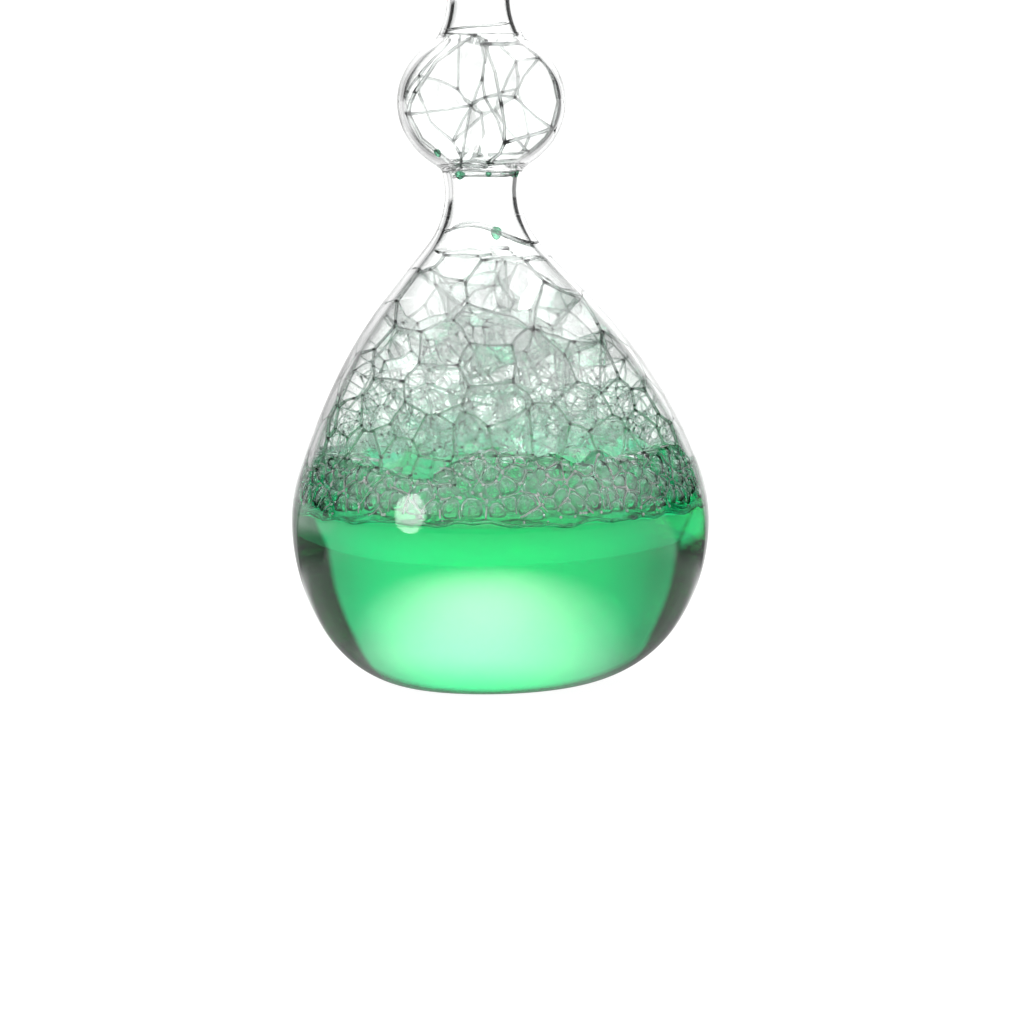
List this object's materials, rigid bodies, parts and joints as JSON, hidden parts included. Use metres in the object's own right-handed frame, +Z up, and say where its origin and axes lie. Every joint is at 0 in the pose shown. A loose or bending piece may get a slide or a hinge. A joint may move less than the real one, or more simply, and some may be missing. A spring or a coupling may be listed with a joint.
{
  "type": "bubble hourglass",
  "caption": "Sealed clear glass timer: flat-footed pear bulbs joined through waisted necks and a small round bulb, part filled with green soapy water under its foam.",
  "frame": {"origin": "centre of the lower bulb's flat foot, on the surface it stands on", "axes": "+Z up along the axis of revolution, from the lower bulb through the necks and the round bulb to the upper bulb"},
  "size_m": [0.0626, 0.0626, 0.1778],
  "materials": {
    "clear_glass": "polished",
    "green_liquid": "polished",
    "wet_foam": "satin",
    "drained_foam": "satin",
    "soap_film": "gloss"
  },
  "bodies": {
    "root": {"lower_bulb": "clear_glass", "lower_neck": "clear_glass", "middle_bulb": "clear_glass", "upper_neck": "clear_glass", "upper_bulb": "clear_glass", "fill_plug": "clear_glass", "green_liquid": "green_liquid", "wet_foam": "wet_foam", "drained_foam": "drained_foam", "neck_foam": "drained_foam", "middle_bulb_foam": "drained_foam", "upper_neck_film": "soap_film"}
  },
  "joints": []
}
